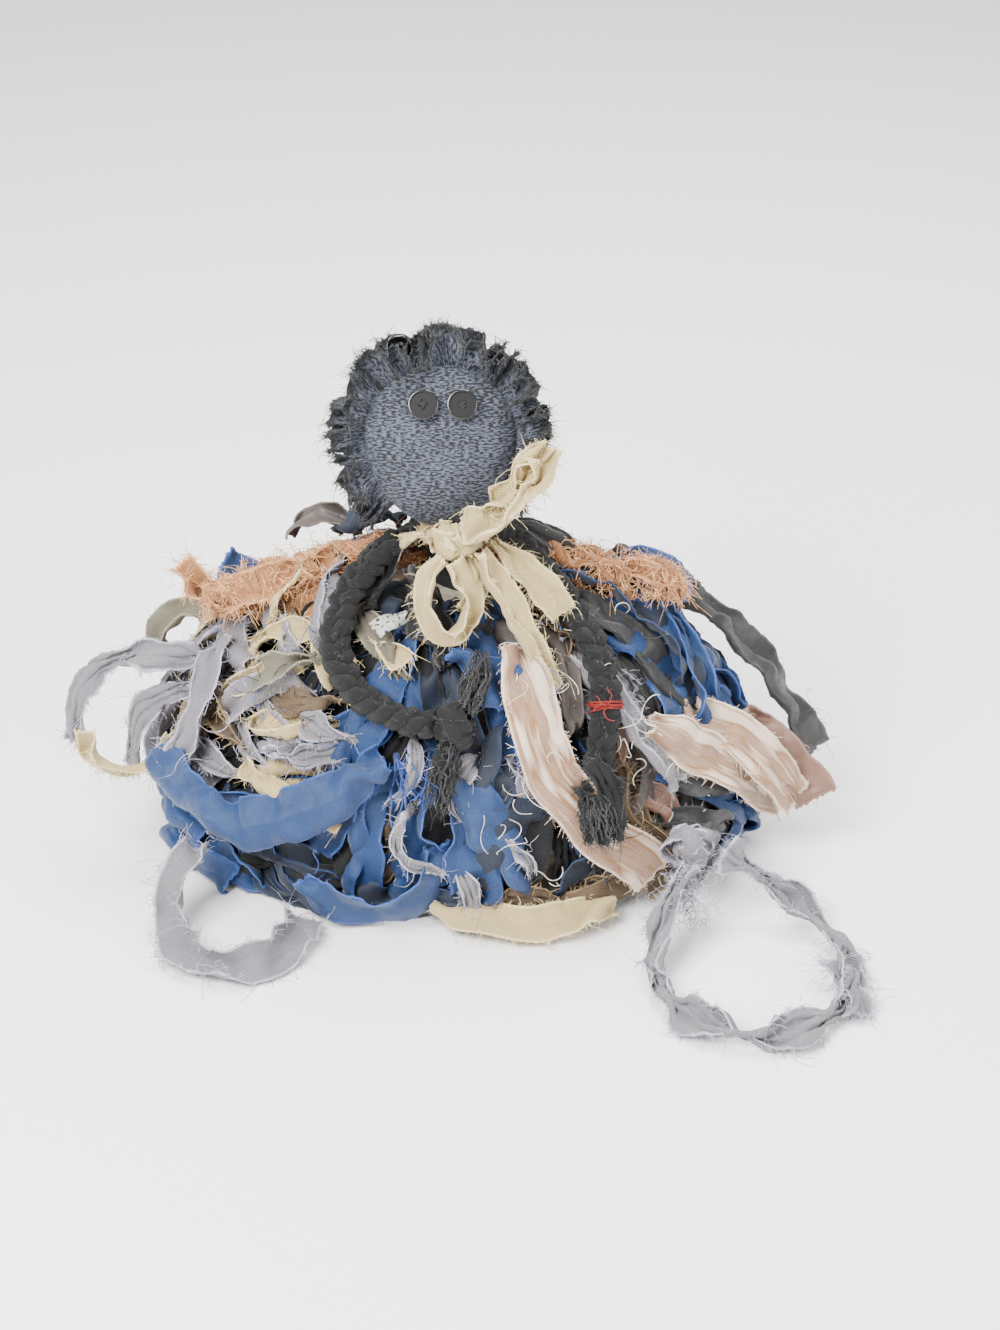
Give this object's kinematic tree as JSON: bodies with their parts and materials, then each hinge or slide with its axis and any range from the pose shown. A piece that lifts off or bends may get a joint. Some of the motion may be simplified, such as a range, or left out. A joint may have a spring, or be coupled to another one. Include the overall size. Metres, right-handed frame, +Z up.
{
  "type": "scarecrow figure",
  "caption": "Free-standing rag scarecrow: a mound of knotted, frayed cloth strips with wrapped wire arms, yarn braids, a scarf and a ruffled head with button eyes.",
  "frame": {"origin": "middle of the flat underside, on the surface that the figure stands on", "axes": "+Z up, the figure faces -Y, its outstretched arms run along X"},
  "size_m": [0.4107, 0.3086, 0.2881],
  "materials": {
    "dark_cloth": "plain weave, matt",
    "stuffing": "fibre filling",
    "wood": "turned dowel, unfinished",
    "wire": "galvanised",
    "charcoal_denim": "salt-and-pepper twill, matt",
    "peach_cloth": "torn and frayed, matt",
    "cream_twill": "soft twill, matt",
    "royal_blue": "brushed cloth with a soft sheen",
    "light_grey": "fine herringbone, matt",
    "blush_brocade": "woven with gold and white streaks",
    "blush_satin": "satin",
    "black_lining": "lining satin",
    "taupe_satin": "satin",
    "olive_cloth": "plain weave, matt",
    "woven_tag": "woven black and white pattern",
    "black_yarn": "knitted yarn, matt",
    "red_thread": "wound thread",
    "black_button": "polished",
    "black_thread": "sewing thread"
  },
  "bodies": {
    "figure": {"arm_wire": "wire", "arm_wrap_left": "peach_cloth", "arm_wrap_right": "peach_cloth", "back_strip_black": "black_lining", "back_strip_cream": "cream_twill", "back_strips_blue": "royal_blue", "back_strips_grey": "light_grey", "base_panel": "dark_cloth", "black_lining_right": "black_lining", "blue_drape_right": "royal_blue", "blue_fold_centre": "royal_blue", "blue_low_loop": "royal_blue", "blue_strip_centre": "royal_blue", "blue_strips_right": "royal_blue", "blue_sweep": "royal_blue", "blue_tip_left": "royal_blue", "blue_twist_left": "royal_blue", "body_bag": "dark_cloth", "body_stuffing": "stuffing", "brocade_strip_long": "blush_brocade", "brocade_strip_low": "blush_brocade", "cream_loop_left": "cream_twill", "cream_strip_bottom": "cream_twill", "cream_strips": "cream_twill", "grey_drop_left": "light_grey", "grey_flare_left": "light_grey", "grey_strips_front": "light_grey", "grey_twist_right": "light_grey", "neck_sleeve": "charcoal_denim", "olive_loop_left": "olive_cloth", "post": "wood", "satin_strip_right": "blush_satin", "scarf_band": "cream_twill", "scarf_knot": "cream_twill", "scarf_loop_lower": "cream_twill", "scarf_loop_upper": "cream_twill", "taupe_curl": "taupe_satin", "woven_tag": "woven_tag"},
    "head": {"head_cover": "charcoal_denim", "head_stuffing": "stuffing", "ruffle_crown": "charcoal_denim", "ruffle_left": "charcoal_denim", "ruffle_right": "charcoal_denim", "ruffle_rear": "charcoal_denim", "neck_gather": "charcoal_denim", "crown_button": "black_button"},
    "eye_left": {"eye_button_left": "black_button", "eye_thread_left": "black_thread"},
    "eye_right": {"eye_button_right": "black_button", "eye_thread_right": "black_thread"},
    "left_braid": {"braid_left": "black_yarn", "braid_left_knot": "black_yarn", "braid_left_ends": "black_yarn"},
    "right_braid": {"braid_right": "black_yarn", "braid_right_tie": "red_thread", "braid_right_end": "black_yarn"},
    "scarf_tail": {"scarf_tail_long": "cream_twill"},
    "right_loop": {"right_floor_loop": "light_grey", "right_loop_knot": "light_grey"},
    "left_loop": {"left_floor_loop": "light_grey"}
  },
  "joints": [
    {"name": "head_nod", "type": "hinge", "parent": "figure", "child": "head", "pos_m": [0, 0, 0.18], "axis": [1, 0, 0], "range_deg": [-8, 2]},
    {"name": "left_eye_turn", "type": "hinge", "parent": "head", "child": "eye_left", "pos_m": [-0.014, -0.02511, 0.2536], "axis": [0, -0.829, 0.5592], "range_deg": [-20, 20]},
    {"name": "right_eye_turn", "type": "hinge", "parent": "head", "child": "eye_right", "pos_m": [0.005, -0.02475, 0.25346], "axis": [0, -0.829, 0.5592], "range_deg": [-20, 20]},
    {"name": "left_braid_lift", "type": "hinge", "parent": "figure", "child": "left_braid", "pos_m": [-0.028, -0.028, 0.18], "axis": [-0.866, 0.5, 0], "range_deg": [0, 25]},
    {"name": "right_braid_lift", "type": "hinge", "parent": "figure", "child": "right_braid", "pos_m": [0.025, -0.025, 0.184], "axis": [-0.5, -0.866, 0], "range_deg": [0, 20]},
    {"name": "scarf_tail_lift", "type": "hinge", "parent": "figure", "child": "scarf_tail", "pos_m": [0.015, -0.055, 0.189], "axis": [-1, 0, 0], "range_deg": [0, 30]},
    {"name": "right_loop_lift", "type": "hinge", "parent": "figure", "child": "right_loop", "pos_m": [0.12, -0.09, 0.04], "axis": [-1, 0, 0], "range_deg": [0, 25]},
    {"name": "left_loop_lift", "type": "hinge", "parent": "figure", "child": "left_loop", "pos_m": [-0.13, -0.084, 0.034], "axis": [-1, 0, 0], "range_deg": [0, 25]}
  ]
}
